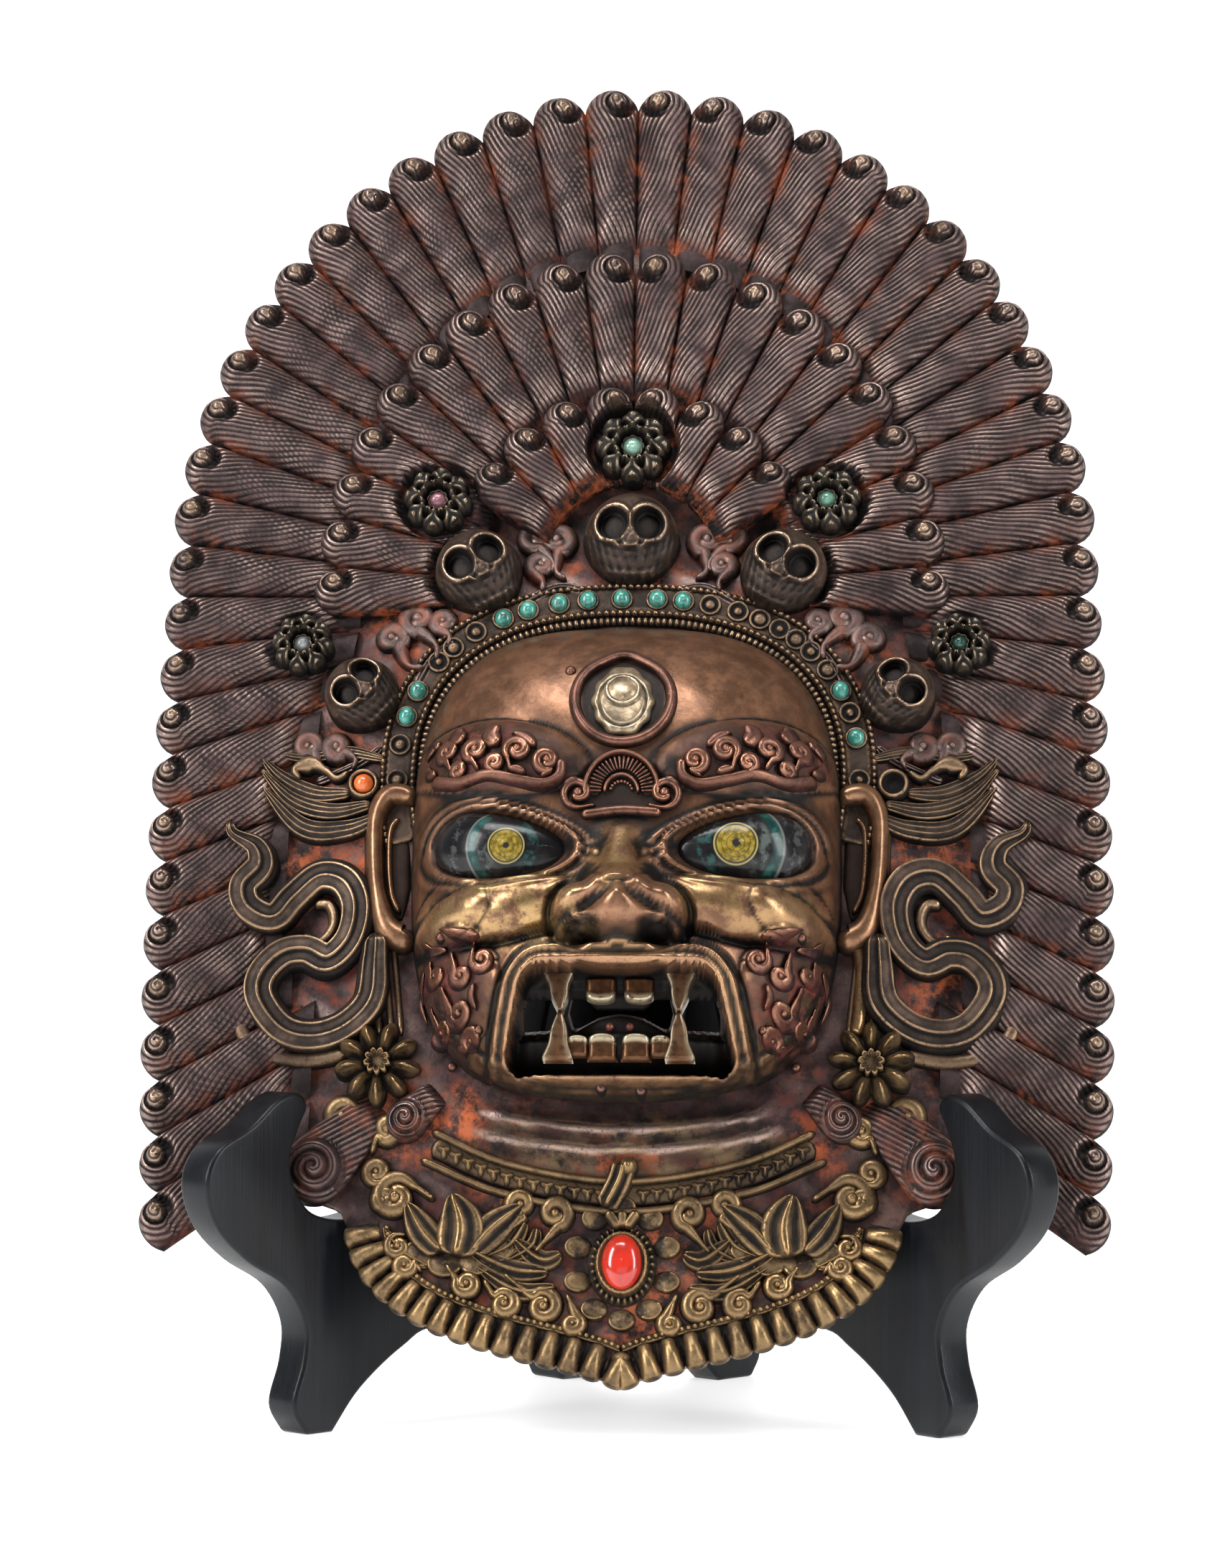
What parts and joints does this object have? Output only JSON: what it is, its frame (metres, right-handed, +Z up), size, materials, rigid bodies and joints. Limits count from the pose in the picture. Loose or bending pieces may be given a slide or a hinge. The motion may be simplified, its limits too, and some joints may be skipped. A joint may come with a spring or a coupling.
{
  "type": "tibetan cham mask",
  "caption": "Worked copper mask of a three-eyed, fanged guardian face in a mantle of curled locks with a skull crown and collar, leaning in a crossed black wooden stand.",
  "frame": {"origin": "centre of the whole object's box, at the floor under the stand's feet", "axes": "+Z up; the mask faces -Y and leans back; +X is the viewer's right"},
  "size_m": [0.2576, 0.1668, 0.364],
  "materials": {
    "copper": "dark brown patinated copper, raised by hammering, with worn ridges and red pigment in the hollows",
    "bright_copper": "polished brown copper with worn gilding",
    "gilding": "gilded copper, rubbed",
    "glass_stone": "polished glass stones in pale green, pink, clear grey and dark green",
    "turquoise": "waxy polished turquoise",
    "coral": "polished coral",
    "black_wood": "satin black lacquer with a fine upright grain"
  },
  "bodies": {
    "root": {"feather_mantle": "copper", "top_rosette": "copper", "left_upper_rosette": "copper", "right_upper_rosette": "copper", "left_lower_rosette": "copper", "right_lower_rosette": "copper", "face": "bright_copper", "top_skull": "bright_copper", "left_upper_skull": "bright_copper", "right_upper_skull": "bright_copper", "left_lower_skull": "bright_copper", "right_lower_skull": "bright_copper", "left_jaw_flower": "gilding", "right_jaw_flower": "gilding", "top_rosette_stone": "glass_stone", "left_upper_rosette_stone": "glass_stone", "right_upper_rosette_stone": "glass_stone", "left_lower_rosette_stone": "glass_stone", "right_lower_rosette_stone": "glass_stone", "turquoise_01": "turquoise", "turquoise_02": "turquoise", "turquoise_03": "turquoise", "turquoise_04": "turquoise", "turquoise_05": "turquoise", "turquoise_06": "turquoise", "turquoise_07": "turquoise", "turquoise_08": "turquoise", "turquoise_09": "turquoise", "turquoise_10": "turquoise", "turquoise_11": "turquoise", "fan_coral": "coral", "collar_coral": "coral", "left_stand_board": "black_wood", "right_stand_board": "black_wood"}
  },
  "joints": []
}
